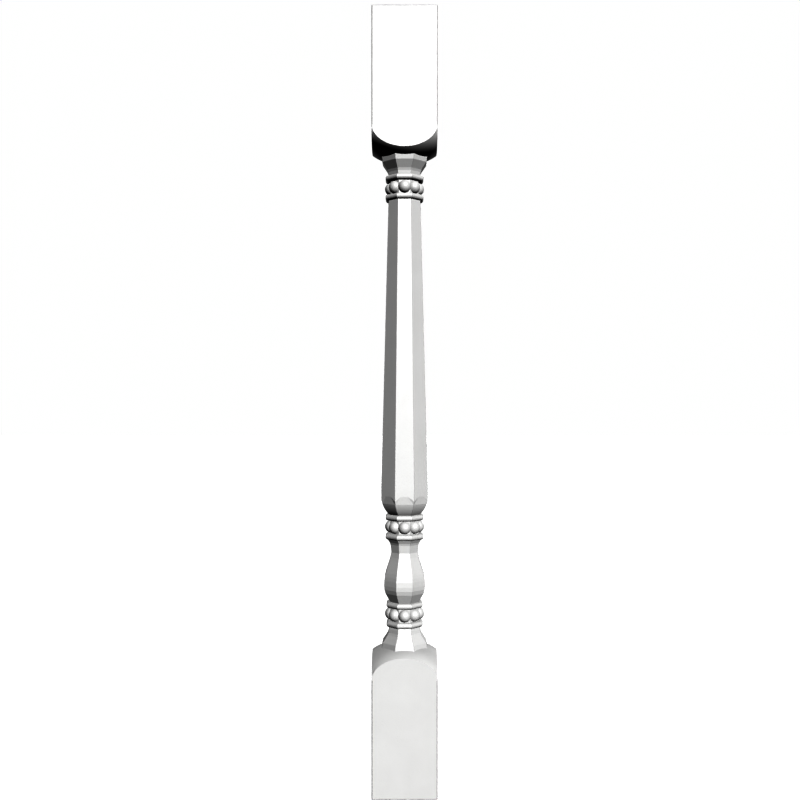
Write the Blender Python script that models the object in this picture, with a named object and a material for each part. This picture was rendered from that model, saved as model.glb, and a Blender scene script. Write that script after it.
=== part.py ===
# Stone baluster, cut as one piece: a square block at the foot and at the head, each with a
# turned shoulder, and between them an octagonal shaft and vase with three beaded bands.
# Metres, +Z up, origin at the middle of the underside. A flat of the octagon faces each side.

import math

import bmesh
import bpy
from mathutils import Matrix, Vector

# Overall height; the taper of the shaft takes up what the other parts leave
HEIGHT = 0.904

# Square blocks and their turned shoulders
BLOCK_SIDE = 0.075
FOOT_BLOCK_HEIGHT = 0.1355
HEAD_BLOCK_HEIGHT = 0.1355
SHOULDER_RISE = 0.0360

# Flares between a shoulder and the nearest ring, widths across flats. Each is cut in four flats,
# whose breaks are shares of its height and of its spread, counted from the narrow end.
FLARE_HEIGHT = 0.0205
FLARE_WIDE = 0.0526
FLARE_NARROW = 0.0364
FLARE_BREAKS = ((0.0, 0.0), (0.17, 0.065), (0.32, 0.18), (0.72, 0.815), (1.0, 1.0))
FLARE_SUNK = 0.0080
FOOT_NECK_HEIGHT = 0.0025

# Beaded bands: a ring, a row of beads on a narrower core, and a second ring
RING_RADIUS = 0.0034
RING_WIDTH = 0.0440
LOWER_RING_WIDTH = 0.0419
BEAD_ROW_HEIGHT = 0.01555
BEAD_COUNT = 8
BEAD_RADIUS = 0.00735
BEAD_CIRCLE_RADIUS = 0.0155
CORE_WIDTH = 0.0330

# Vase between the two lower bands
VASE_HEIGHT = 0.0729
VASE_TOP_WIDTH = 0.0371
VASE_NECK_WIDTH = 0.0309
VASE_BELLY_WIDTH = 0.0473
VASE_FOOT_WIDTH = 0.0335
VASE_COVE_HEIGHT = 0.0095
VASE_SWELL_HEIGHT = 0.04375

# Shaft: a long taper, a short upright stretch, arch-topped facets and the rounded end below them
SHAFT_TOP_WIDTH = 0.0371
SHAFT_FOOT_WIDTH = 0.0537
SHAFT_UPRIGHT_HEIGHT = 0.0160
SHAFT_END_HEIGHT = 0.0144
SHAFT_END_WIDTH = 0.0370
SHAFT_END_LEAN = math.radians(14.0)
ARCH_FOOT_WIDTH = 0.0529
ARCH_HEIGHT = 0.0093
ARCH_TOP_SHARE = 0.38
ARRIS_HEIGHT = 0.0038

# How finely the curves are cut
SIDES = 8
RING_STEPS = 8
COVE_STEPS = 3
SWELL_STEPS = 7
BELLY_STEPS = 5
SHAFT_END_STEPS = 6
SHOULDER_STEPS = 12
DOME_STEPS = 7
BEAD_SEGMENTS = 14
BEAD_RINGS = 9

# Meetings steeper than this stay crisp, so the octagon keeps its arrises and the beads read round
SHARP_ANGLE = math.radians(29.0)

STONE_COLOUR = (0.86, 0.85, 0.82, 1.0)
STONE_ROUGHNESS = 0.6


def clear_scene():
    for item in list(bpy.data.objects):
        bpy.data.objects.remove(item, do_unlink=True)


def stone_material():
    material = bpy.data.materials.new("pale stone")
    material.use_nodes = True
    shader = material.node_tree.nodes["Principled BSDF"]
    shader.inputs["Base Color"].default_value = STONE_COLOUR
    shader.inputs["Roughness"].default_value = STONE_ROUGHNESS
    shader.inputs["Metallic"].default_value = 0.0
    return material


def ease(share):
    # S-shaped curve from 0 to 1, level at both ends
    return (1.0 - math.cos(math.pi * share)) / 2.0


def shoulder_height(radius):
    # Rise of the turned shoulder above its springing line at a distance from the axis
    reach = BLOCK_SIDE / math.sqrt(2.0)
    return SHOULDER_RISE * math.sqrt(max(0.0, 1.0 - (radius / reach) ** 2))


def ring_profile(bottom, width):
    # Half-round ring standing out from the core, its lowest point at bottom
    middle = width / 2.0 - RING_RADIUS
    steps = [math.pi * (step / RING_STEPS - 0.5) for step in range(RING_STEPS + 1)]
    return [
        (bottom + RING_RADIUS * (1.0 + math.sin(turn)), 2.0 * (middle + RING_RADIUS * math.cos(turn)))
        for turn in steps
    ]


def band_profile(bottom, width):
    # Lower ring, core and upper ring, with the height of the bead centres
    top_ring = bottom + 2.0 * RING_RADIUS + BEAD_ROW_HEIGHT
    lower = ring_profile(bottom, width)
    upper = ring_profile(top_ring, width)
    core = [(bottom + 2.0 * RING_RADIUS, CORE_WIDTH), (top_ring, CORE_WIDTH)]
    beads = bottom + 2.0 * RING_RADIUS + BEAD_ROW_HEIGHT / 2.0
    return lower + core + upper, beads


def flare_profile():
    # From the narrow end, at height 0, to the last flat, which runs on down inside the shoulder
    spread = FLARE_WIDE - FLARE_NARROW
    points = [(FLARE_HEIGHT * rise, FLARE_NARROW + spread * share) for rise, share in FLARE_BREAKS]
    (break_height, break_width), (wide_height, wide_width) = points[-2:]
    slope = (wide_width - break_width) / (wide_height - break_height)
    points[-1] = (FLARE_HEIGHT + FLARE_SUNK, wide_width + slope * FLARE_SUNK)
    return points


def arc_profile(low, high, narrow, wide, lean, steps):
    # Round from its wide end, high, down to its narrow end, low; lean is its slope at the wide end
    chord = math.atan2((wide - narrow) / 2.0, high - low)
    finish = 2.0 * chord - lean
    radius = (high - low) / (math.sin(finish) - math.sin(lean))
    points = []
    for step in range(steps + 1):
        slope = finish + (lean - finish) * step / steps
        height = low + radius * (math.sin(finish) - math.sin(slope))
        points.append((height, narrow + 2.0 * radius * (math.cos(slope) - math.cos(finish))))
    return points


def vase_profile(bottom):
    # Rounded belly, long swell up to the neck, and the cove under the ring above
    neck = bottom + VASE_HEIGHT - VASE_COVE_HEIGHT
    belly = neck - VASE_SWELL_HEIGHT
    points = arc_profile(bottom, belly, VASE_FOOT_WIDTH, VASE_BELLY_WIDTH, 0.0, BELLY_STEPS)
    for step in range(1, SWELL_STEPS + 1):
        share = step / SWELL_STEPS
        width = VASE_BELLY_WIDTH + (VASE_NECK_WIDTH - VASE_BELLY_WIDTH) * ease(share)
        points.append((belly + VASE_SWELL_HEIGHT * share, width))
    for step in range(1, COVE_STEPS + 1):
        share = step / COVE_STEPS
        width = VASE_NECK_WIDTH + (VASE_TOP_WIDTH - VASE_NECK_WIDTH) * (1.0 - math.cos(share * math.pi / 2.0))
        points.append((neck + VASE_COVE_HEIGHT * share, width))
    return points


def octagon(height, width):
    # Corners of one course, with a flat facing each side
    reach = width / 2.0 / math.cos(math.pi / SIDES)
    turns = [math.tau * (side + 0.5) / SIDES for side in range(SIDES)]
    return [Vector((reach * math.cos(turn), reach * math.sin(turn), height)) for turn in turns]


def add_course(body, points):
    return [body.verts.new(point) for point in points]


def join_courses(body, lower, upper):
    for side in range(SIDES):
        follow = (side + 1) % SIDES
        body.faces.new((lower[side], lower[follow], upper[follow], upper[side]))


def join_arches(body, lower, arrises, upper, arch_top):
    # On each face an arch-topped facet runs up from the rounded end into the flat of the shaft
    for side in range(SIDES):
        follow = (side + 1) % SIDES
        along = (arrises[follow].co - arrises[side].co) * (ARCH_TOP_SHARE / 2.0)
        centre = (arrises[follow].co + arrises[side].co) / 2.0
        centre.z = arch_top
        near = body.verts.new(centre - along)
        far = body.verts.new(centre + along)
        body.faces.new((lower[side], lower[follow], far, near))
        body.faces.new((lower[side], near, arrises[side]))
        body.faces.new((lower[follow], arrises[follow], far))
        body.faces.new((arrises[side], near, far, arrises[follow], upper[follow], upper[side]))


def mesh_object(name, body, material):
    mesh = bpy.data.meshes.new(name)
    bmesh.ops.recalc_face_normals(body, faces=body.faces)
    body.to_mesh(mesh)
    body.free()
    mesh.materials.append(material)
    mesh.shade_smooth()
    mesh.set_sharp_from_angle(angle=SHARP_ANGLE)
    item = bpy.data.objects.new(name, mesh)
    bpy.context.collection.objects.link(item)
    return item


def build_stem(material):
    # Octagonal part from the lower flare to the upper one, its ends buried in the blocks
    band_height = 4.0 * RING_RADIUS + BEAD_ROW_HEIGHT
    level = FOOT_BLOCK_HEIGHT + shoulder_height(FLARE_WIDE / 2.0) + FLARE_HEIGHT
    below = [(level - height, width) for height, width in reversed(flare_profile())]
    level += FOOT_NECK_HEIGHT
    below.append((level, FLARE_NARROW))
    band, foot_beads = band_profile(level, LOWER_RING_WIDTH)
    below += band
    level += band_height
    below += vase_profile(level)
    level += VASE_HEIGHT
    band, middle_beads = band_profile(level, RING_WIDTH)
    below += band
    level += band_height
    shaft_end = level + SHAFT_END_HEIGHT
    below += arc_profile(level, shaft_end, SHAFT_END_WIDTH, ARCH_FOOT_WIDTH, SHAFT_END_LEAN, SHAFT_END_STEPS)

    head = HEIGHT - HEAD_BLOCK_HEIGHT
    shaft_top = head - shoulder_height(FLARE_WIDE / 2.0) - FLARE_HEIGHT - band_height
    upright_top = shaft_end + ARRIS_HEIGHT + SHAFT_UPRIGHT_HEIGHT
    above = [(upright_top, SHAFT_FOOT_WIDTH), (shaft_top, SHAFT_TOP_WIDTH)]
    band, top_beads = band_profile(shaft_top, RING_WIDTH)
    above += band
    level = shaft_top + band_height
    above += [(level + height, width) for height, width in flare_profile()]

    body = bmesh.new()
    lower = [add_course(body, octagon(height, width)) for height, width in below]
    upper = [add_course(body, octagon(height, width)) for height, width in above]
    for courses in (lower, upper):
        for bottom_course, top_course in zip(courses, courses[1:]):
            join_courses(body, bottom_course, top_course)

    arrises = add_course(body, octagon(shaft_end + ARRIS_HEIGHT, SHAFT_FOOT_WIDTH))
    join_arches(body, lower[-1], arrises, upper[0], shaft_end + ARCH_HEIGHT)
    body.faces.new(list(reversed(lower[0])))
    body.faces.new(upper[-1])
    return mesh_object("baluster", body, material), [foot_beads, middle_beads, top_beads]


def block_outline():
    # Points round the square, closer together towards the corners where the arch is steep
    half = BLOCK_SIDE / 2.0
    side = [half * math.sin(math.pi / 2.0 * (2.0 * step / SHOULDER_STEPS - 1.0)) for step in range(SHOULDER_STEPS)]
    points = []
    for quarter in range(4):
        turn = Matrix.Rotation(quarter * math.pi / 2.0, 3, "Z")
        points += [turn @ Vector((half, across, 0.0)) for across in side]
    return points


def add_block(body, flat_end, springing, up):
    # Square block whose inner end is a turned shoulder; up is 1 at the foot and -1 at the head
    outline = block_outline()
    count = len(outline)
    ends = [body.verts.new((point.x, point.y, flat_end)) for point in outline[::SHOULDER_STEPS]]
    courses = []
    for step in range(DOME_STEPS):
        share = 1.0 - step / DOME_STEPS
        course = []
        for point in outline:
            spot = point * share
            course.append(body.verts.new((spot.x, spot.y, springing + up * shoulder_height(spot.length))))
        courses.append(course)
    crown = body.verts.new((0.0, 0.0, springing + up * SHOULDER_RISE))
    body.faces.new(ends)
    for quarter in range(4):
        first = quarter * SHOULDER_STEPS
        edge = [courses[0][(first + step) % count] for step in range(SHOULDER_STEPS + 1)]
        body.faces.new([ends[quarter], *edge, ends[(quarter + 1) % 4]])
    for lower, upper in zip(courses, courses[1:]):
        for spot in range(count):
            follow = (spot + 1) % count
            body.faces.new((lower[spot], lower[follow], upper[follow], upper[spot]))
    for spot in range(count):
        body.faces.new((courses[-1][spot], courses[-1][(spot + 1) % count], crown))


def build_blocks(material):
    body = bmesh.new()
    add_block(body, 0.0, FOOT_BLOCK_HEIGHT, 1.0)
    add_block(body, HEIGHT, HEIGHT - HEAD_BLOCK_HEIGHT, -1.0)
    return mesh_object("blocks", body, material)


def build_beads(name, start, bead_heights, material):
    # Every second bead of each row, so that no two spheres in one mesh meet
    body = bmesh.new()
    spin = start * math.pi / BEAD_SEGMENTS
    for height in bead_heights:
        for bead in range(start, BEAD_COUNT, 2):
            turn = math.tau * bead / BEAD_COUNT
            place = Matrix.Rotation(turn, 4, "Z") @ Matrix.Translation((BEAD_CIRCLE_RADIUS, 0.0, height))
            pole_out = Matrix.Rotation(math.pi / 2.0, 4, "Y") @ Matrix.Rotation(spin, 4, "Z")
            bmesh.ops.create_uvsphere(
                body,
                u_segments=BEAD_SEGMENTS,
                v_segments=BEAD_RINGS,
                radius=BEAD_RADIUS,
                matrix=place @ pole_out,
            )
    return mesh_object(name, body, material)


def unite(item, other):
    union = item.modifiers.new(other.name, "BOOLEAN")
    union.operation = "UNION"
    union.solver = "EXACT"
    union.object = other
    other.hide_render = True
    other.display_type = "WIRE"


clear_scene()
stone = stone_material()
baluster, bead_rows = build_stem(stone)
unite(baluster, build_blocks(stone))
unite(baluster, build_beads("beads first", 0, bead_rows, stone))
unite(baluster, build_beads("beads second", 1, bead_rows, stone))
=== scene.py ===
import math

import bmesh
import bpy
from mathutils import Matrix, Vector


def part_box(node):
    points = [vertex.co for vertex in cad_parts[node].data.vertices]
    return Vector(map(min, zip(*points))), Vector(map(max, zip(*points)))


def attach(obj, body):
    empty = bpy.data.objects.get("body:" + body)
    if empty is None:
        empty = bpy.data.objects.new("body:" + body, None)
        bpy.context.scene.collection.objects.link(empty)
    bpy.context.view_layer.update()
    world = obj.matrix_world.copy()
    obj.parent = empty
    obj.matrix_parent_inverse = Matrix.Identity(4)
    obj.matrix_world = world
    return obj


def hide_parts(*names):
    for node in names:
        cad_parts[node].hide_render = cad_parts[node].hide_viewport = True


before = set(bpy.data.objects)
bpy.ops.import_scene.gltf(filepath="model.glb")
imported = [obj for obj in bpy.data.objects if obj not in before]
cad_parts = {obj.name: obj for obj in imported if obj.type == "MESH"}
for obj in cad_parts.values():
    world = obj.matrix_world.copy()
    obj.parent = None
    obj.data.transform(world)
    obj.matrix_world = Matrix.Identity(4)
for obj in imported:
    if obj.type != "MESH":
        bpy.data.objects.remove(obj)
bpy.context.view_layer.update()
lowCorner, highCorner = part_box("baluster")
print("frame loaded")


# small helpers for building node trees

def newNode(tree, kind, **settings):
    node = tree.nodes.new(kind)
    for name, value in settings.items():
        setattr(node, name, value)
    return node


def feed(tree, socket, value):
    # a socket is linked, anything else is set as the plain value
    if isinstance(value, bpy.types.NodeSocket):
        tree.links.new(value, socket)
    elif value is not None:
        socket.default_value = value


def calc(tree, operation, first, second=None, third=None):
    node = newNode(tree, "ShaderNodeMath", operation=operation)
    for socket, value in zip(node.inputs, (first, second, third)):
        feed(tree, socket, value)
    return node.outputs[0]


def ramp(tree, value, ends, results=(0.0, 1.0), smooth=False):
    # runs from the first result to the second between the two ends, and is held beyond them
    node = newNode(tree, "ShaderNodeMapRange", interpolation_type="SMOOTHSTEP" if smooth else "LINEAR")
    ranges = (("From Min", ends[0]), ("From Max", ends[1]), ("To Min", results[0]), ("To Max", results[1]))
    for label, setting in (("Value", value), *ranges):
        feed(tree, node.inputs[label], setting)
    return node.outputs["Result"]


def combine(tree, x, y, z):
    node = newNode(tree, "ShaderNodeCombineXYZ")
    for socket, value in zip(node.inputs, (x, y, z)):
        feed(tree, socket, value)
    return node.outputs[0]


def split(tree, vector):
    node = newNode(tree, "ShaderNodeSeparateXYZ")
    feed(tree, node.inputs[0], vector)
    return node.outputs


def newGeometryTree(name, inputs):
    # inputs: socket name -> socket type, all after the geometry
    tree = bpy.data.node_groups.new(name, "GeometryNodeTree")
    tree.interface.new_socket("Geometry", in_out="INPUT", socket_type="NodeSocketGeometry")
    for label, kind in inputs.items():
        tree.interface.new_socket(label, in_out="INPUT", socket_type=kind)
    tree.interface.new_socket("Geometry", in_out="OUTPUT", socket_type="NodeSocketGeometry")
    return tree, tree.nodes.new("NodeGroupInput"), tree.nodes.new("NodeGroupOutput")


def setInputs(modifier, values):
    # a modifier's inputs go by socket identifier
    for item in modifier.node_group.interface.items_tree:
        if item.item_type == "SOCKET" and item.in_out == "INPUT" and item.name in values:
            modifier[item.identifier] = values[item.name]


def newObject(name, mesh):
    item = bpy.data.objects.new(name, mesh)
    bpy.context.collection.objects.link(item)
    return item


def madePlain(item):
    # the evaluated result becomes the object's own mesh, and the live modifiers go
    depsgraph = bpy.context.evaluated_depsgraph_get()
    mesh = bpy.data.meshes.new_from_object(item.evaluated_get(depsgraph), depsgraph=depsgraph)
    item.modifiers.clear()
    item.data = mesh
    return item


# stone: very pale and honed, with a faint cloud, fine grain, a few pits, and arrises darkened, partly worn
# and partly with painted shade

stoneLook = {
    "lightColour": (0.90, 0.899, 0.895, 1.0),
    "greyColour": (0.82, 0.818, 0.812, 1.0),
    "specular": 1.0,
    "roughness": 0.42,
    "roughnessSpread": 0.12,
    "edgeOnRange": (0.5, 0.8),
    "edgeOnDullness": 0.5,          # added roughness
    "bumpStrength": 0.6,
    "cloudSize": 22.0,              # noise scales are per metre
    "cloudDetail": 5.0,
    "cloudDistortion": 0.6,
    "cloudRange": (0.35, 0.75),     # where the noise runs from clear to full
    "cloudShade": 0.35,             # how far towards the grey
    "grainSize": 900.0,
    "grainDetail": 3.0,
    "grainBreakUp": 0.65,
    "grainShade": 0.18,
    "grainDepth": 0.00003,          # metres
    "pitSize": 420.0,
    "pitNarrowness": 3.2,
    "pitPatchSize": 60.0,
    "pitPatchRange": (0.54, 0.68),
    "pitShade": 0.5,
    "pitRoughness": 0.2,
    "pitDepth": 0.00012,
    # darker arris colour: partly worn stone, partly painted shade for the edges that turn away from the
    # light
    "wornAndShadedColour": (0.52, 0.519, 0.516, 1.0),
    "blockWornAndShadedWidth": 0.0018,            # how wide the worn and painted-shade band is on an arris
    "stemWornAndShadedWidth": 0.0004,
    "wornAndShadedBreakUpSize": 140.0,
    "wornAndShadedPatchRange": (0.30, 0.55),
    "leastWornAndShaded": 0.8,
    "wearRoughness": 0.15,
}


def newShaderGroup(name, inputs, outputs):
    group = bpy.data.node_groups.new(name, "ShaderNodeTree")
    for label in inputs:
        group.interface.new_socket(label, in_out="INPUT", socket_type="NodeSocketFloat")
    for label in outputs:
        group.interface.new_socket(label, in_out="OUTPUT", socket_type="NodeSocketFloat")
    return group, group.nodes.new("NodeGroupInput").outputs, group.nodes.new("NodeGroupOutput").inputs


def makeGrainGroup(look):
    group, value, result = newShaderGroup("stoneGrain", ("Cloud Scale", "Grain Scale", "Pit Scale"),
                                          ("Cloud", "Grain", "Pits"))
    place = newNode(group, "ShaderNodeTexCoord").outputs["Object"]
    cloud = newNode(group, "ShaderNodeTexNoise")
    cloud.inputs["Detail"].default_value = look["cloudDetail"]
    cloud.inputs["Distortion"].default_value = look["cloudDistortion"]
    grain = newNode(group, "ShaderNodeTexNoise")
    grain.inputs["Detail"].default_value = look["grainDetail"]
    grain.inputs["Roughness"].default_value = look["grainBreakUp"]
    cells = newNode(group, "ShaderNodeTexVoronoi")
    for texture, label in ((cloud, "Cloud Scale"), (grain, "Grain Scale"), (cells, "Pit Scale")):
        feed(group, texture.inputs["Vector"], place)
        feed(group, texture.inputs["Scale"], value[label])

    # pits only where a slower noise is high, so they come in sparse patches
    patch = newNode(group, "ShaderNodeTexNoise")
    feed(group, patch.inputs["Vector"], place)
    patch.inputs["Scale"].default_value = look["pitPatchSize"]
    fromPit = calc(group, "MULTIPLY", cells.outputs["Distance"], look["pitNarrowness"])
    deep = calc(group, "MAXIMUM", calc(group, "SUBTRACT", 1.0, fromPit), 0.0)
    pits = calc(group, "MULTIPLY", deep, ramp(group, patch.outputs["Fac"], look["pitPatchRange"]))

    feed(group, result["Cloud"], cloud.outputs["Fac"])
    feed(group, result["Grain"], grain.outputs["Fac"])
    feed(group, result["Pits"], pits)
    return group


def makeWornAndShadedGroup(look):
    # 1 along the arrises of the blocks and of the octagonal stem, broken up by noise, 0 on open faces; it
    # marks the worn arrises and the painted shade of their outline
    widths = ("Block Width", "Stem Width", "Break Up Scale")
    places = ("Block Half", "Block Height", "Stem Start", "Overall Height")
    group, value, result = newShaderGroup("edgeWearAndPaintedShade", widths + places, ("Worn And Shaded",))
    place = newNode(group, "ShaderNodeTexCoord").outputs["Object"]
    x, y, z = split(group, place)
    wide, deep = calc(group, "ABSOLUTE", x), calc(group, "ABSOLUTE", y)
    longer, shorter = calc(group, "MAXIMUM", wide, deep), calc(group, "MINIMUM", wide, deep)
    fromEnd = calc(group, "MINIMUM", z, calc(group, "SUBTRACT", value["Overall Height"], z))
    inside = calc(group, "SUBTRACT", value["Block Half"], longer)

    def near(gap, width):
        # fades from 1 at the arris to 0 at the width
        return ramp(group, gap, (0.0, width), (1.0, 0.0), smooth=True)

    # square block: its upright arrises, and the four round its flat end
    fromCorner = calc(group, "SUBTRACT", longer, shorter)
    upright = near(calc(group, "MAXIMUM", fromCorner, inside), value["Block Width"])
    upright = calc(group, "MULTIPLY", upright, calc(group, "LESS_THAN", fromEnd, value["Block Height"]))
    flatEnd = near(calc(group, "MAXIMUM", fromEnd, inside), value["Block Width"])
    # stem: how far along its facet a point is from the facet's end, at any width
    facet = calc(group, "DIVIDE", calc(group, "ADD", wide, deep), math.sqrt(2.0))
    facet = calc(group, "MAXIMUM", longer, facet)
    square = calc(group, "MULTIPLY_ADD", wide, wide, calc(group, "MULTIPLY", deep, deep))
    square = calc(group, "SUBTRACT", square, calc(group, "MULTIPLY", facet, facet))
    along = calc(group, "SQRT", calc(group, "MAXIMUM", square, 0.0))
    facetHalf = calc(group, "MULTIPLY", facet, math.tan(math.pi / 8.0))
    stem = near(calc(group, "SUBTRACT", facetHalf, along), value["Stem Width"])
    stem = calc(group, "MULTIPLY", stem, calc(group, "GREATER_THAN", fromEnd, value["Stem Start"]))

    broken = newNode(group, "ShaderNodeTexNoise")
    feed(group, broken.inputs["Vector"], place)
    feed(group, broken.inputs["Scale"], value["Break Up Scale"])
    patchy = ramp(group, broken.outputs["Fac"], look["wornAndShadedPatchRange"], (look["leastWornAndShaded"], 1.0))
    worn = calc(group, "MAXIMUM", calc(group, "MAXIMUM", upright, flatEnd), stem)
    feed(group, result["Worn And Shaded"], calc(group, "MULTIPLY", worn, patchy))
    return group


def placeGroup(tree, group, values):
    node = newNode(tree, "ShaderNodeGroup")
    node.node_tree = group
    for label, value in values.items():
        node.inputs[label].default_value = value
    return node.outputs


def mixColours(tree, share, first, second):
    node = newNode(tree, "ShaderNodeMix", data_type="RGBA")
    for label, value in (("Factor", share), ("A", first), ("B", second)):
        feed(tree, node.inputs[label], value)
    return node.outputs["Result"]


def makeStone(look):
    material = bpy.data.materials.new("pale stone finish")
    material.use_nodes = True
    tree = material.node_tree
    shader = tree.nodes["Principled BSDF"]
    shader.inputs["Specular IOR Level"].default_value = look["specular"]
    grain = placeGroup(tree, makeGrainGroup(look), {
        "Cloud Scale": look["cloudSize"],
        "Grain Scale": look["grainSize"],
        "Pit Scale": look["pitSize"],
    })
    wornAndShaded = placeGroup(tree, makeWornAndShadedGroup(look), {
        "Block Width": look["blockWornAndShadedWidth"],
        "Stem Width": look["stemWornAndShadedWidth"],
        "Break Up Scale": look["wornAndShadedBreakUpSize"],
        "Block Half": blockSizes["side"] / 2.0,
        "Block Height": blockSizes["height"],
        "Stem Start": blockSizes["height"] + shoulderHeight(flareSizes["wide"] / 2.0),
        "Overall Height": overallHeight,
    })

    cloudy = ramp(tree, grain["Cloud"], look["cloudRange"])
    shade = calc(tree, "ADD", calc(tree, "MULTIPLY", cloudy, look["cloudShade"]),
                 calc(tree, "MULTIPLY", grain["Grain"], look["grainShade"]))
    shade = calc(tree, "ADD", shade, calc(tree, "MULTIPLY", grain["Pits"], look["pitShade"]))
    colour = mixColours(tree, shade, look["lightColour"], look["greyColour"])
    # the arrises are darkened: partly worn, partly painted shade that draws their grey outline
    colour = mixColours(tree, wornAndShaded["Worn And Shaded"], colour, look["wornAndShadedColour"])
    feed(tree, shader.inputs["Base Color"], colour)

    rough = calc(tree, "MULTIPLY_ADD", grain["Grain"], look["roughnessSpread"], look["roughness"])
    rough = calc(tree, "ADD", rough, calc(tree, "MULTIPLY", grain["Pits"], look["pitRoughness"]))
    rough = calc(tree, "MULTIPLY_ADD", wornAndShaded["Worn And Shaded"], look["wearRoughness"], rough)
    # duller where it is seen edge-on, so the light from the far side leaves no glare on the shoulders
    facing = newNode(tree, "ShaderNodeLayerWeight").outputs["Facing"]
    edgeOn = ramp(tree, facing, look["edgeOnRange"], (0.0, look["edgeOnDullness"]), smooth=True)
    feed(tree, shader.inputs["Roughness"], calc(tree, "ADD", rough, edgeOn))

    height = calc(tree, "MULTIPLY", grain["Grain"], look["grainDepth"])
    height = calc(tree, "SUBTRACT", height, calc(tree, "MULTIPLY", grain["Pits"], look["pitDepth"]))
    bump = newNode(tree, "ShaderNodeBump")
    bump.inputs["Distance"].default_value = 1.0
    bump.inputs["Strength"].default_value = look["bumpStrength"]
    feed(tree, bump.inputs["Height"], height)
    feed(tree, shader.inputs["Normal"], bump.outputs["Normal"])
    return material


# blocks at the foot and the head, each with a turned shoulder

blockSizes = {
    "height": 0.1355,       # flat end to springing, at the corners
    "shoulderRise": 0.0360,
    "arris": 0.0009,        # radius of the eased edges
    "arrisSteps": 6,
    "sideSteps": 28,
    "domeSteps": 26,
}
blockSizes["side"] = highCorner.x - lowCorner.x
overallHeight = highCorner.z - lowCorner.z
hairline = 0.000001     # points closer than this are one point
# numbers of the patches that stay crisp against each other; the stem's own courses start at 1
patches = {"block": 900, "shoulder": 901, "bead": 902}


def shoulderHeight(radius):
    reach = blockSizes["side"] / math.sqrt(2.0)
    return blockSizes["shoulderRise"] * math.sqrt(max(0.0, 1.0 - (radius / reach) ** 2))


def squareOutline(sizes):
    # (point, its outward normal) round a square with eased corners
    half = sizes["side"] / 2.0
    straight = half - sizes["arris"]
    spots = []
    for quarter in range(4):
        turn = Matrix.Rotation(quarter * math.pi / 2.0, 3, "Z")
        for step in range(sizes["sideSteps"]):
            # points crowd towards the corners, where the arch is steep
            along = straight * math.sin(math.pi / 2.0 * (2.0 * step / sizes["sideSteps"] - 1.0))
            spots.append((turn @ Vector((half, along, 0.0)), turn @ Vector((1.0, 0.0, 0.0))))
        for step in range(sizes["arrisSteps"]):
            angle = math.pi / 2.0 * step / sizes["arrisSteps"]
            out = Vector((math.cos(angle), math.sin(angle), 0.0))
            spots.append((turn @ (Vector((straight, straight, 0.0)) + out * sizes["arris"]), turn @ out))
    return spots


def makeBlock(name, flatEnd, up):
    sizes = blockSizes
    outline = squareOutline(sizes)
    body = bmesh.new()
    patch = body.faces.layers.int.new("course")
    loops = []
    for step in range(sizes["arrisSteps"] + 1):
        angle = math.pi / 2.0 * step / sizes["arrisSteps"]
        level = flatEnd + up * sizes["arris"] * (1.0 - math.cos(angle))
        spots = [point - out * sizes["arris"] * (1.0 - math.sin(angle)) for point, out in outline]
        loops.append([body.verts.new((spot.x, spot.y, level)) for spot in spots])
    lastSide = len(loops)
    # the arch and the shoulder are cut as if the corners were sharp, and only the arch's own edge is eased
    cut = [point * (sizes["side"] / 2.0 / max(abs(point.x), abs(point.y))) for point, out in outline]
    springing = flatEnd + up * sizes["height"]
    for step in range(sizes["domeSteps"]):
        share = 1.0 - step / sizes["domeSteps"]
        spots = cut if step else [point for point, out in outline]
        loops.append([body.verts.new((spot.x * share, spot.y * share,
                                      springing + up * shoulderHeight(sharp.length * share)))
                      for spot, sharp in zip(spots, cut)])
    crown = body.verts.new((0.0, 0.0, springing + up * sizes["shoulderRise"]))
    body.faces.new(loops[0])[patch] = patches["block"]
    count = len(outline)
    for number, (lower, upper) in enumerate(zip(loops, loops[1:]), start=1):
        for spot in range(count):
            follow = (spot + 1) % count
            face = body.faces.new((lower[spot], lower[follow], upper[follow], upper[spot]))
            face[patch] = patches["block"] if number <= lastSide else patches["shoulder"]
    for spot in range(count):
        body.faces.new((loops[-1][spot], loops[-1][(spot + 1) % count], crown))[patch] = patches["shoulder"]
    bmesh.ops.remove_doubles(body, verts=body.verts, dist=hairline)
    bmesh.ops.recalc_face_normals(body, faces=body.faces)
    mesh = bpy.data.meshes.new(name)
    body.to_mesh(mesh)
    body.free()
    mesh.materials.append(stone)
    return newObject(name, mesh)


# stem: one profile, swept round as an octagon with softened arrises

flareSizes = {
    "height": 0.0205,
    "wide": 0.0526,       # across the flats
    "narrow": 0.0364,
    "breaks": ((0.0, 0.0), (0.19, 0.074), (0.33, 0.208), (0.745, 0.882), (1.0, 1.0)),
    "sunk": 0.0080,
    "footNeck": 0.0025,
}
bandSizes = {
    "ringRadius": 0.0034,
    "ringWidth": 0.0440,
    "lowerRingWidth": 0.0419,
    "ringSteps": 16,
    "beadRowHeight": 0.01555,
    "coreWidth": 0.0330,
}
vaseSizes = {
    "height": 0.0729,
    "top": 0.0385,
    "neck": 0.0304,
    "belly": 0.0472,
    "foot": 0.0333,
    "coveHeight": 0.0152,
    "swellHeight": 0.0383,
    # where the flats meet, as (share of the height, share of the width), each run from its foot up
    "bellyBreaks": ((0.0, 0.0), (0.526, 0.770), (0.763, 0.954), (1.0, 1.0)),
    "swellBreaks": ((0.149, 0.022), (0.264, 0.090), (0.379, 0.208), (0.522, 0.405),
                    (0.749, 0.732), (0.859, 0.875), (1.0, 1.0)),
    "coveBreaks": ((0.599, 0.259), (0.763, 0.469), (1.0, 1.0)),
}
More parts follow.
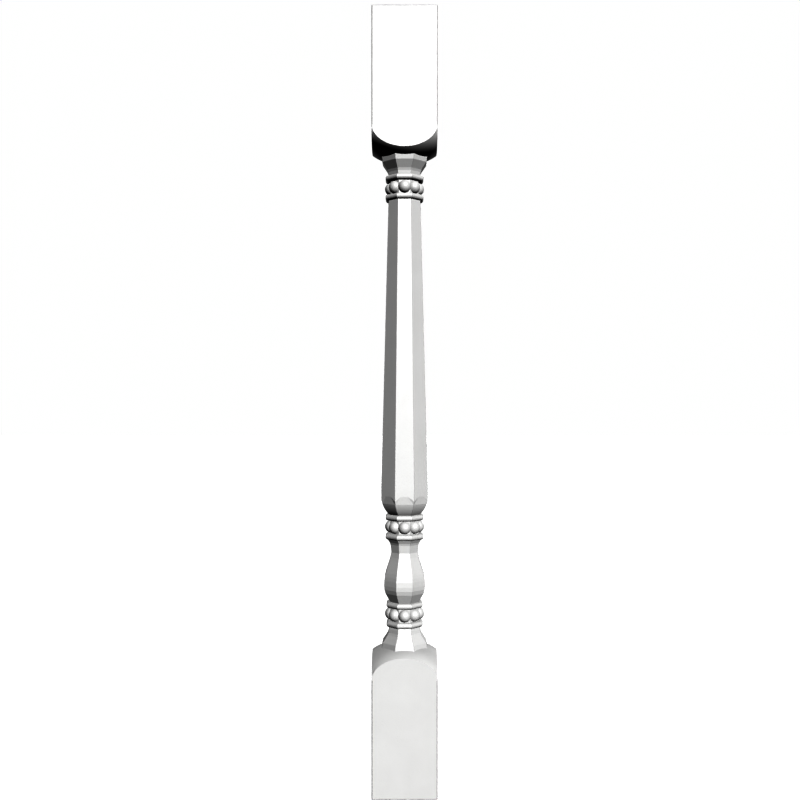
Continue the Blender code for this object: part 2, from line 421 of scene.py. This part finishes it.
shaftSizes = {
    "top": 0.0371,
    "foot": 0.0537,
    "uprightTop": 0.0342,      # above the middle band
    "endHeight": 0.0131,
    "endWidth": 0.0354,
    "endLean": math.radians(18.0),
    "endFlats": 7,
    "archFoot": 0.0515,
    "archHeight": 0.0091,
    "arrisHeight": 0.0041,
    "archShare": 0.38,
}
arrisSizes = {
    "radius": 0.0006,
    "steps": 4,
    "weld": 0.000002,      # closes the sweep on itself
}


def ringProfile(bottom, width):
    radius = bandSizes["ringRadius"]
    steps = bandSizes["ringSteps"]
    middle = width / 2.0 - radius
    turns = [math.pi * (step / steps - 0.5) for step in range(steps + 1)]
    return [(middle + radius * math.cos(turn), bottom + radius * (1.0 + math.sin(turn))) for turn in turns]


def flareProfile():
    # from the narrow end up to the last flat, which runs on inside the shoulder
    spread = flareSizes["wide"] - flareSizes["narrow"]
    points = [((flareSizes["narrow"] + spread * share) / 2.0, flareSizes["height"] * rise)
              for rise, share in flareSizes["breaks"]]
    (breakWidth, breakHeight), (width, height) = points[-2:]
    slope = (width - breakWidth) / (height - breakHeight)
    points[-1] = (width + slope * flareSizes["sunk"], height + flareSizes["sunk"])
    return points


def arcProfile(low, high, narrow, wide, lean, flats):
    # an arc that leans in by the given angle where it meets the shaft, cut in equal turns
    chord = math.atan2((wide - narrow) / 2.0, high - low)
    finish = 2.0 * chord - lean
    radius = (high - low) / (math.sin(finish) - math.sin(lean))
    slopes = [finish + (lean - finish) * step / flats for step in range(flats + 1)]
    return [(narrow / 2.0 + radius * (math.cos(slope) - math.cos(finish)),
             low + radius * (math.sin(finish) - math.sin(slope))) for slope in slopes]


def vaseProfile(bottom):
    sizes = vaseSizes
    neck = bottom + sizes["height"] - sizes["coveHeight"]
    belly = neck - sizes["swellHeight"]

    def run(low, high, start, end, breaks):
        return [((start + (end - start) * spread) / 2.0, low + (high - low) * rise)
                for rise, spread in breaks]

    points = run(bottom, belly, sizes["foot"], sizes["belly"], sizes["bellyBreaks"])
    points += run(belly, neck, sizes["belly"], sizes["neck"], sizes["swellBreaks"])
    points += run(neck, neck + sizes["coveHeight"], sizes["neck"], sizes["top"], sizes["coveBreaks"])
    return points


def makeLevels():
    # one entry a level: the face's half width and height, the arris's own, and the course that starts there
    levels = []
    course = 0

    def add(points, smooth=False):
        nonlocal course
        course += 1
        for half, height in points:
            levels.append([half, height, half, height, course])
            if not smooth:
                course += 1

    def addBand(bottom, width):
        topRing = bottom + 2.0 * bandSizes["ringRadius"] + bandSizes["beadRowHeight"]
        core = bandSizes["coreWidth"] / 2.0
        add(ringProfile(bottom, width), smooth=True)
        add([(core, bottom + 2.0 * bandSizes["ringRadius"]), (core, topRing)])
        add(ringProfile(topRing, width), smooth=True)
        return topRing - bandSizes["beadRowHeight"] / 2.0

    bandHeight = 4.0 * bandSizes["ringRadius"] + bandSizes["beadRowHeight"]
    shoulder = blockSizes["height"] + shoulderHeight(flareSizes["wide"] / 2.0)
    flareEnd = shoulder + flareSizes["height"]
    add([(half, flareEnd - height) for half, height in reversed(flareProfile())])
    level = flareEnd + flareSizes["footNeck"]
    beadHeights = [addBand(level, bandSizes["lowerRingWidth"])]
    level += bandHeight
    add(vaseProfile(level))
    level += vaseSizes["height"]
    beadHeights.append(addBand(level, bandSizes["ringWidth"]))
    level += bandHeight

    # rounded end, then the arch-topped facets: over them the face starts higher than on the arris
    archFoot = level + shaftSizes["endHeight"]
    archTop = archFoot + shaftSizes["archHeight"]
    inner, outer = shaftSizes["archFoot"] / 2.0, shaftSizes["foot"] / 2.0
    add(arcProfile(level, archFoot, shaftSizes["endWidth"], shaftSizes["archFoot"],
                   shaftSizes["endLean"], shaftSizes["endFlats"]))
    levels.append([outer, archTop, inner, archFoot, course + 1])
    levels.append([outer, archTop, outer, archFoot + shaftSizes["arrisHeight"], course + 2])
    course += 2
    levels.append([outer, archTop, outer, archTop, course])
    levels.append([outer, level + shaftSizes["uprightTop"], outer, level + shaftSizes["uprightTop"], course])

    top = overallHeight - flareEnd - bandHeight
    levels.append([shaftSizes["top"] / 2.0, top, shaftSizes["top"] / 2.0, top, course + 1])
    course += 1
    beadHeights.append(addBand(top, bandSizes["ringWidth"]))
    add([(half, top + bandHeight + height) for half, height in flareProfile()])
    return levels, beadHeights


def makeOctagonTree():
    # sweeps the levels round as an octagon with eased arrises
    inputs = {
        "Arris Radius": "NodeSocketFloat",
        "Arris Steps": "NodeSocketInt",
        "Flat Share": "NodeSocketFloat",
        "Weld": "NodeSocketFloat",
        "Stone": "NodeSocketMaterial",
    }
    tree, source, result = newGeometryTree("octagonLoft", inputs)
    value = source.outputs
    eighth = math.tau / 8.0

    count = newNode(tree, "GeometryNodeAttributeDomainSize")
    feed(tree, count.inputs["Geometry"], value["Geometry"])
    lastLevel = calc(tree, "SUBTRACT", count.outputs["Point Count"], 1.0)
    # columns a side: the steps round the arris, then three across the face
    perSide = calc(tree, "ADD", value["Arris Steps"], 3.0)
    around = calc(tree, "MULTIPLY", perSide, 8.0)
    grid = newNode(tree, "GeometryNodeMeshGrid")
    feed(tree, grid.inputs["Size X"], around)
    feed(tree, grid.inputs["Size Y"], lastLevel)
    feed(tree, grid.inputs["Vertices X"], calc(tree, "ADD", around, 1.0))
    feed(tree, grid.inputs["Vertices Y"], count.outputs["Point Count"])

    gridX, gridY, gridZ = split(tree, newNode(tree, "GeometryNodeInputPosition").outputs[0])
    column = calc(tree, "ROUND", calc(tree, "MULTIPLY_ADD", around, 0.5, gridX))
    along = calc(tree, "MULTIPLY_ADD", lastLevel, 0.5, gridY)

    def fromLevel(name, index, kind):
        wanted = newNode(tree, "GeometryNodeInputNamedAttribute", data_type=kind)
        wanted.inputs["Name"].default_value = name
        taken = newNode(tree, "GeometryNodeSampleIndex", data_type=kind)
        feed(tree, taken.inputs["Geometry"], value["Geometry"])
        feed(tree, taken.inputs["Value"], next(s for s in wanted.outputs if s.enabled))
        feed(tree, taken.inputs["Index"], index)
        return taken.outputs[0]

    numbered = newNode(tree, "GeometryNodeStoreNamedAttribute", data_type="INT", domain="FACE")
    feed(tree, numbered.inputs["Geometry"], grid.outputs["Mesh"])
    numbered.inputs["Name"].default_value = "course"
    feed(tree, numbered.inputs["Value"], fromLevel("course", calc(tree, "FLOOR", along), "INT"))

    level = calc(tree, "ROUND", along)
    side = calc(tree, "FLOOR", calc(tree, "DIVIDE", calc(tree, "ADD", column, 0.5), perSide))
    step = calc(tree, "SUBTRACT", column, calc(tree, "MULTIPLY", side, perSide))
    bend = calc(tree, "MINIMUM", calc(tree, "DIVIDE", step, value["Arris Steps"]), 1.0)
    onFace = calc(tree, "GREATER_THAN", step, calc(tree, "ADD", value["Arris Steps"], 0.5))
    pastMiddle = calc(tree, "GREATER_THAN", step, calc(tree, "ADD", value["Arris Steps"], 1.5))

    arrisHalf = fromLevel("arrisHalf", level, "FLOAT")
    arrisHeight = fromLevel("arrisHeight", level, "FLOAT")
    inset = calc(tree, "SUBTRACT", arrisHalf, value["Arris Radius"])

    # on the arris: round a centre that lies on the diagonal
    diagonal = calc(tree, "MULTIPLY", calc(tree, "ADD", side, 0.5), eighth)
    turned = calc(tree, "MULTIPLY", calc(tree, "ADD", side, bend), eighth)
    out = calc(tree, "DIVIDE", inset, math.cos(eighth / 2.0))
    arrisX = calc(tree, "MULTIPLY_ADD", calc(tree, "COSINE", diagonal), out,
                  calc(tree, "MULTIPLY", calc(tree, "COSINE", turned), value["Arris Radius"]))
    arrisY = calc(tree, "MULTIPLY_ADD", calc(tree, "SINE", diagonal), out,
                  calc(tree, "MULTIPLY", calc(tree, "SINE", turned), value["Arris Radius"]))

    # on the face: out along its normal, then sideways by the share
    normal = calc(tree, "MULTIPLY", calc(tree, "ADD", side, 1.0), eighth)
    faceHalf = fromLevel("faceHalf", level, "FLOAT")
    sideways = calc(tree, "MULTIPLY_ADD", pastMiddle, 2.0, -1.0)
    faceInset = calc(tree, "SUBTRACT", faceHalf, value["Arris Radius"])
    sideways = calc(tree, "MULTIPLY", calc(tree, "MULTIPLY", sideways, value["Flat Share"]),
                    calc(tree, "MULTIPLY", faceInset, math.tan(eighth / 2.0)))
    faceX = calc(tree, "SUBTRACT", calc(tree, "MULTIPLY", calc(tree, "COSINE", normal), faceHalf),
                 calc(tree, "MULTIPLY", calc(tree, "SINE", normal), sideways))
    faceY = calc(tree, "MULTIPLY_ADD", calc(tree, "SINE", normal), faceHalf,
                 calc(tree, "MULTIPLY", calc(tree, "COSINE", normal), sideways))

    spot = newNode(tree, "ShaderNodeMix", data_type="VECTOR")
    ends = [socket for socket in spot.inputs if socket.type == "VECTOR" and socket.name in ("A", "B")]
    feed(tree, spot.inputs["Factor"], onFace)
    feed(tree, ends[0], combine(tree, arrisX, arrisY, arrisHeight))
    feed(tree, ends[1], combine(tree, faceX, faceY, fromLevel("faceHeight", level, "FLOAT")))
    place = newNode(tree, "GeometryNodeSetPosition")
    feed(tree, place.inputs["Geometry"], numbered.outputs[0])
    feed(tree, place.inputs["Position"], [socket for socket in spot.outputs if socket.type == "VECTOR"][0])
    merge = newNode(tree, "GeometryNodeMergeByDistance")
    feed(tree, merge.inputs["Geometry"], place.outputs[0])
    feed(tree, merge.inputs["Distance"], value["Weld"])
    real = newNode(tree, "GeometryNodeRealizeInstances")
    feed(tree, real.inputs[0], merge.outputs[0])
    finish = newNode(tree, "GeometryNodeSetMaterial")
    feed(tree, finish.inputs["Geometry"], real.outputs[0])
    feed(tree, finish.inputs["Material"], value["Stone"])
    feed(tree, result.inputs[0], finish.outputs[0])
    return tree


def capEnds(mesh):
    # closes the two open ends of the swept body and turns every face outwards
    body = bmesh.new()
    body.from_mesh(mesh)
    bmesh.ops.holes_fill(body, edges=[edge for edge in body.edges if edge.is_boundary], sides=0)
    bmesh.ops.recalc_face_normals(body, faces=body.faces)
    body.to_mesh(mesh)
    body.free()


def makeStem():
    levels, beadHeights = makeLevels()
    mesh = bpy.data.meshes.new("stem")
    mesh.from_pydata([(level[0], 0.0, level[1]) for level in levels], [], [])
    for name, values in zip(("faceHalf", "faceHeight", "arrisHalf", "arrisHeight", "course"), zip(*levels)):
        kind = "INT" if name == "course" else "FLOAT"
        mesh.attributes.new(name, kind, "POINT").data.foreach_set("value", values)
    stem = newObject("stem", mesh)
    sweep = stem.modifiers.new("octagon", "NODES")
    sweep.node_group = makeOctagonTree()
    setInputs(sweep, {
        "Arris Radius": arrisSizes["radius"],
        "Arris Steps": arrisSizes["steps"],
        "Flat Share": shaftSizes["archShare"],
        "Weld": arrisSizes["weld"],
        "Stone": stone,
    })
    madePlain(stem)
    capEnds(stem.data)
    return stem, beadHeights


# beads: two sets of every second bead, so no two in a set touch

beadSizes = {
    "count": 8,
    "radius": 0.00735,
    "circleRadius": 0.0155,
    "segments": 30,
    "rings": 17,
}


def makeBeadTree():
    inputs = {
        "Bead Count": "NodeSocketInt",
        "Bead Radius": "NodeSocketFloat",
        "Circle Radius": "NodeSocketFloat",
        "Start Turn": "NodeSocketFloat",
        "Segments": "NodeSocketInt",
        "Rings": "NodeSocketInt",
        "Patch": "NodeSocketInt",
        "Stone": "NodeSocketMaterial",
    }
    tree, source, result = newGeometryTree("beadRows", inputs)
    value = source.outputs
    circle = newNode(tree, "GeometryNodeMeshCircle")
    feed(tree, circle.inputs["Vertices"], value["Bead Count"])
    feed(tree, circle.inputs["Radius"], value["Circle Radius"])
    turned = newNode(tree, "GeometryNodeTransform")
    feed(tree, turned.inputs["Geometry"], circle.outputs[0])
    feed(tree, turned.inputs["Rotation"], combine(tree, 0.0, 0.0, value["Start Turn"]))
    ball = newNode(tree, "GeometryNodeMeshUVSphere")
    feed(tree, ball.inputs["Segments"], value["Segments"])
    feed(tree, ball.inputs["Rings"], value["Rings"])
    feed(tree, ball.inputs["Radius"], value["Bead Radius"])
    beads = newNode(tree, "GeometryNodeInstanceOnPoints")
    feed(tree, beads.inputs["Points"], turned.outputs[0])
    feed(tree, beads.inputs["Instance"], ball.outputs[0])
    rows = newNode(tree, "GeometryNodeInstanceOnPoints")
    feed(tree, rows.inputs["Points"], value["Geometry"])
    feed(tree, rows.inputs["Instance"], beads.outputs[0])
    real = newNode(tree, "GeometryNodeRealizeInstances")
    feed(tree, real.inputs[0], rows.outputs[0])
    numbered = newNode(tree, "GeometryNodeStoreNamedAttribute", data_type="INT", domain="FACE")
    feed(tree, numbered.inputs["Geometry"], real.outputs[0])
    numbered.inputs["Name"].default_value = "course"
    feed(tree, numbered.inputs["Value"], value["Patch"])
    finish = newNode(tree, "GeometryNodeSetMaterial")
    feed(tree, finish.inputs["Geometry"], numbered.outputs[0])
    feed(tree, finish.inputs["Material"], value["Stone"])
    feed(tree, result.inputs[0], finish.outputs[0])
    return tree


def makeBeads(name, tree, start, heights):
    mesh = bpy.data.meshes.new(name)
    mesh.from_pydata([(0.0, 0.0, height) for height in heights], [], [])
    beads = newObject(name, mesh)
    rows = beads.modifiers.new("rows", "NODES")
    rows.node_group = tree
    setInputs(rows, {
        "Bead Count": beadSizes["count"] // 2,
        "Bead Radius": beadSizes["radius"],
        "Circle Radius": beadSizes["circleRadius"],
        "Start Turn": start * math.tau / beadSizes["count"],
        "Segments": beadSizes["segments"],
        "Rings": beadSizes["rings"],
        "Patch": patches["bead"],
        "Stone": stone,
    })
    return madePlain(beads)


# the whole baluster, cut from one stone

balusterFinish = {
    "crispCorner": math.radians(35.0),     # steeper meetings than this stay sharp
    "flatWeight": 60,                      # how far the shading keeps to the larger faces
}


def unite(body, others):
    for other in others:
        union = body.modifiers.new(other.name, "BOOLEAN")
        union.operation = "UNION"
        union.solver = "EXACT"
        union.object = other
    madePlain(body)
    for other in others:
        bpy.data.objects.remove(other, do_unlink=True)


def keepCrisp(mesh, corner):
    # edges between two courses, and the deep corners between beads, stay sharp
    body = bmesh.new()
    body.from_mesh(mesh)
    bmesh.ops.dissolve_degenerate(body, dist=hairline, edges=body.edges)
    course = body.faces.layers.int["course"]
    for face in body.faces:
        face.smooth = True
    for edge in body.edges:
        sides = [face[course] for face in edge.link_faces]
        edge.smooth = len(sides) == 2 and sides[0] == sides[1] and edge.calc_face_angle(0.0) < corner
    body.faces.layers.int.remove(course)
    body.to_mesh(mesh)
    body.free()


stone = makeStone(stoneLook)     # after the sizes, because the worn and painted-shade band follows them
print("stone ready")


def makeBaluster():
    stem, beadHeights = makeStem()
    print("stem swept:", len(stem.data.polygons), "faces")
    blocks = [makeBlock("foot block", lowCorner.z, 1.0), makeBlock("head block", highCorner.z, -1.0)]
    beadTree = makeBeadTree()
    beads = [makeBeads(name, beadTree, start, beadHeights)
             for start, name in enumerate(("beads", "beads between"))]
    unite(stem, blocks + beads)
    stem.name = "carvedBaluster"
    mesh = stem.data
    mesh.name = "carvedBaluster"
    mesh.materials.clear()
    mesh.materials.append(stone)
    keepCrisp(mesh, balusterFinish["crispCorner"])
    flatten = stem.modifiers.new("flats", "WEIGHTED_NORMAL")
    flatten.keep_sharp = True
    flatten.weight = balusterFinish["flatWeight"]
    madePlain(stem)
    # like the floor, the stone throws no light back on itself
    stem.visible_diffuse = False
    stem.visible_glossy = False
    print("baluster joined:", len(stem.data.polygons), "faces")
    return stem


baluster = makeBaluster()
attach(baluster, "root")
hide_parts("baluster")


# studio: pale floor, white surround, a key from the front right and above; nothing casts a shadow

studio = {
    "keyStrength": 3.85,
    "keyTurn": math.radians(16.4),     # towards the right of the camera
    "keyRise": math.radians(25.2),
    "lampAngle": math.radians(3.0),
    "lampDistance": 3.0,
    "backStrength": 2.0,               # two lamps for the sides and the back, which the photo doesn't show
    "backTurn": math.radians(145.0),
    "backRise": math.radians(6.0),
    "fill": 0.004,
    "surround": 1.0,                   # how bright the camera sees what is behind
    "floorSize": 24.0,
    "floorDrop": 0.0002,
    "floorColour": (0.25, 0.25, 0.25, 1.0),
    "floorRoughness": 0.9,
    "white": (1.0, 1.0, 1.0, 1.0),
}
photoCamera = {
    "distance": 1.1348,
    "fieldOfView": math.radians(45.0),
    "centreX": 404.54,                 # the axis and the mid-height in the photo, in pixels of 800
    "centreY": 402.33,
    "frame": 800.0,
    "sensorWidth": 36.0,
    "clipStart": 0.01,
}


def makeStudio(values):
    def lamp(name, turn, rise, strength):
        light = bpy.data.lights.new(name, "SUN")
        light.energy = strength
        light.angle = values["lampAngle"]
        light.use_shadow = False
        item = newObject(name, light)
        away = Vector((math.sin(turn) * math.cos(rise), -math.cos(turn) * math.cos(rise), math.sin(rise)))
        item.location = away * values["lampDistance"]
        item.rotation_euler = (-away).to_track_quat("-Z", "Y").to_euler()
        return item

    lamp("key", values["keyTurn"], values["keyRise"], values["keyStrength"])
    for name, side in (("back left", -1.0), ("back right", 1.0)):
        back = lamp(name, side * values["backTurn"], values["backRise"], values["backStrength"])
        back.visible_glossy = False     # no glints along the outline from behind

    # white behind the object, dim as a light on it
    world = bpy.data.worlds.new("studio")
    bpy.context.scene.world = world
    world.use_nodes = True
    tree = world.node_tree
    tree.nodes.clear()
    fill = newNode(tree, "ShaderNodeBackground")
    fill.inputs["Strength"].default_value = values["fill"]
    seen = newNode(tree, "ShaderNodeBackground")
    seen.inputs["Strength"].default_value = values["surround"]
    for node in (fill, seen):
        node.inputs["Color"].default_value = values["white"]
    mix = newNode(tree, "ShaderNodeMixShader")
    tree.links.new(newNode(tree, "ShaderNodeLightPath").outputs["Is Camera Ray"], mix.inputs["Fac"])
    tree.links.new(fill.outputs[0], mix.inputs[1])
    tree.links.new(seen.outputs[0], mix.inputs[2])
    tree.links.new(mix.outputs[0], newNode(tree, "ShaderNodeOutputWorld").inputs["Surface"])


def makeFloor(values):
    body = bmesh.new()
    bmesh.ops.create_grid(body, x_segments=1, y_segments=1, size=values["floorSize"] / 2.0)
    mesh = bpy.data.meshes.new("floor")
    body.to_mesh(mesh)
    body.free()
    floor = newObject("floor", mesh)
    floor.location.z = lowCorner.z - values["floorDrop"]
    material = bpy.data.materials.new("pale floor")
    material.use_nodes = True
    tree = material.node_tree
    shader = tree.nodes["Principled BSDF"]
    shader.inputs["Base Color"].default_value = values["floorColour"]
    shader.inputs["Roughness"].default_value = values["floorRoughness"]
    shader.inputs["Emission Color"].default_value = values["white"]
    seenByCamera = newNode(tree, "ShaderNodeLightPath").outputs["Is Camera Ray"]
    tree.links.new(seenByCamera, shader.inputs["Emission Strength"])
    mesh.materials.append(material)
    floor.visible_diffuse = False      # it lights nothing, so the undersides stay dark
    floor.visible_glossy = False


def makeCamera(values):
    camera = bpy.data.cameras.new("photo camera")
    camera.sensor_width = values["sensorWidth"]
    camera.lens = camera.sensor_width / 2.0 / math.tan(values["fieldOfView"] / 2.0)
    camera.shift_x = -(values["centreX"] - values["frame"] / 2.0) / values["frame"]
    camera.shift_y = (values["centreY"] - values["frame"] / 2.0) / values["frame"]
    camera.clip_start = values["clipStart"]
    item = newObject("photo camera", camera)
    item.location = (0.0, -values["distance"], overallHeight / 2.0)
    item.rotation_euler = (math.pi / 2.0, 0.0, 0.0)
    bpy.context.scene.camera = item


makeStudio(studio)
makeFloor(studio)
makeCamera(photoCamera)
bpy.context.scene.view_settings.view_transform = "Raw"
print("studio ready")
